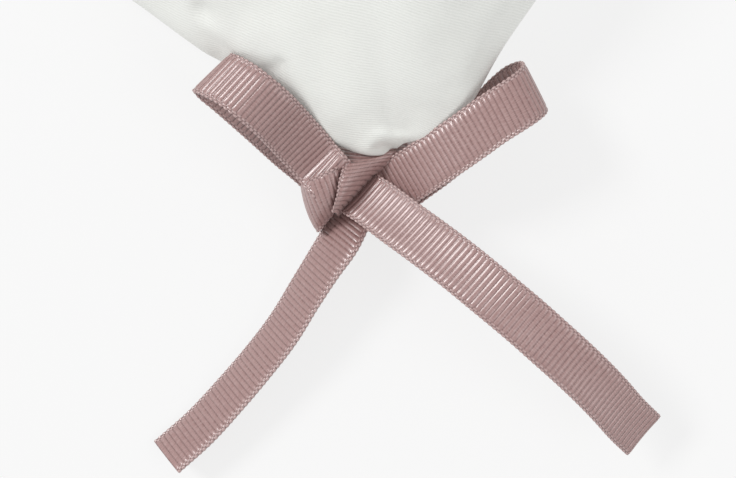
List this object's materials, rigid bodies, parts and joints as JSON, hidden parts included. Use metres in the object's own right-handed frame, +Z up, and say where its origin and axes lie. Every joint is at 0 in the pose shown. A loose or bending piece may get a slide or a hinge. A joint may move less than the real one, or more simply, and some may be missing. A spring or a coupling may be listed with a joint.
{
  "type": "ring bearer pillow",
  "caption": "Square stuffed cotton pillow for carrying wedding rings, with a tied grosgrain ribbon bow at each corner and a ribbon ring tie on its crown.",
  "frame": {"origin": "on the table, under the middle of the pillow", "axes": "+Z up out of the front panel; the pillow's sides run along X and Y"},
  "size_m": [0.331, 0.331, 0.0689],
  "materials": {
    "white_twill": "matte cotton twill",
    "fibre": "loose polyester fibre",
    "thread": "spun thread",
    "grosgrain": "ribbed, slightly lustrous"
  },
  "bodies": {
    "pillow": {"front_panel": "white_twill", "back_panel": "white_twill", "fibre_filling": "fibre", "seam_needle_thread": "thread", "seam_bobbin_thread": "thread", "closing_stitches": "thread", "bow1_tack": "thread", "bow1_wrap": "grosgrain", "bow1_loop_left": "grosgrain", "bow1_loop_right": "grosgrain", "bow2_tack": "thread", "bow2_wrap": "grosgrain", "bow2_loop_left": "grosgrain", "bow2_loop_right": "grosgrain", "bow3_tack": "thread", "bow3_wrap": "grosgrain", "bow3_loop_left": "grosgrain", "bow3_loop_right": "grosgrain", "bow4_tack": "thread", "bow4_wrap": "grosgrain", "bow4_loop_left": "grosgrain", "bow4_loop_right": "grosgrain", "ring_tack": "thread", "ring_wrap": "grosgrain", "ring_loop_left": "grosgrain", "ring_loop_right": "grosgrain"},
    "bow1_tail_left": {"bow1_tail_left": "grosgrain"},
    "bow1_tail_right": {"bow1_tail_right": "grosgrain"},
    "bow2_tail_left": {"bow2_tail_left": "grosgrain"},
    "bow2_tail_right": {"bow2_tail_right": "grosgrain"},
    "bow3_tail_left": {"bow3_tail_left": "grosgrain"},
    "bow3_tail_right": {"bow3_tail_right": "grosgrain"},
    "bow4_tail_left": {"bow4_tail_left": "grosgrain"},
    "bow4_tail_right": {"bow4_tail_right": "grosgrain"},
    "ring_tail_left": {"ring_tail_left": "grosgrain"},
    "ring_tail_right": {"ring_tail_right": "grosgrain"}
  },
  "joints": [
    {"name": "bow1_tail_left_lift", "type": "hinge", "parent": "pillow", "child": "bow1_tail_left", "pos_m": [-0.11226, -0.0952, 0.01397], "axis": [0.1735, 0.7226, -0.6691], "range_deg": [0, 40]},
    {"name": "bow1_tail_right_lift", "type": "hinge", "parent": "pillow", "child": "bow1_tail_right", "pos_m": [-0.10361, -0.09965, 0.0172], "axis": [-0.9942, 0.108, 0], "range_deg": [0, 45]},
    {"name": "bow2_tail_left_lift", "type": "hinge", "parent": "pillow", "child": "bow2_tail_left", "pos_m": [0.0952, -0.11226, 0.01397], "axis": [-0.7226, 0.1735, -0.6691], "range_deg": [0, 40]},
    {"name": "bow2_tail_right_lift", "type": "hinge", "parent": "pillow", "child": "bow2_tail_right", "pos_m": [0.09965, -0.10361, 0.0172], "axis": [-0.108, -0.9942, 0], "range_deg": [0, 45]},
    {"name": "bow3_tail_left_lift", "type": "hinge", "parent": "pillow", "child": "bow3_tail_left", "pos_m": [0.11226, 0.0952, 0.01397], "axis": [-0.1735, -0.7226, -0.6691], "range_deg": [0, 40]},
    {"name": "bow3_tail_right_lift", "type": "hinge", "parent": "pillow", "child": "bow3_tail_right", "pos_m": [0.10361, 0.09965, 0.0172], "axis": [0.9942, -0.108, 0], "range_deg": [0, 45]},
    {"name": "bow4_tail_left_lift", "type": "hinge", "parent": "pillow", "child": "bow4_tail_left", "pos_m": [-0.0952, 0.11226, 0.01397], "axis": [0.7226, -0.1735, -0.6691], "range_deg": [0, 40]},
    {"name": "bow4_tail_right_lift", "type": "hinge", "parent": "pillow", "child": "bow4_tail_right", "pos_m": [-0.09965, 0.10361, 0.0172], "axis": [0.108, 0.9942, 0], "range_deg": [0, 45]},
    {"name": "ring_tail_left_lift", "type": "hinge", "parent": "pillow", "child": "ring_tail_left", "pos_m": [-0.0048, -0.0096, 0.0616], "axis": [-0.8829, 0.4695, 0], "range_deg": [0, 60]},
    {"name": "ring_tail_right_lift", "type": "hinge", "parent": "pillow", "child": "ring_tail_right", "pos_m": [0.0048, -0.0096, 0.0616], "axis": [-0.8829, -0.4695, 0], "range_deg": [0, 60]}
  ]
}
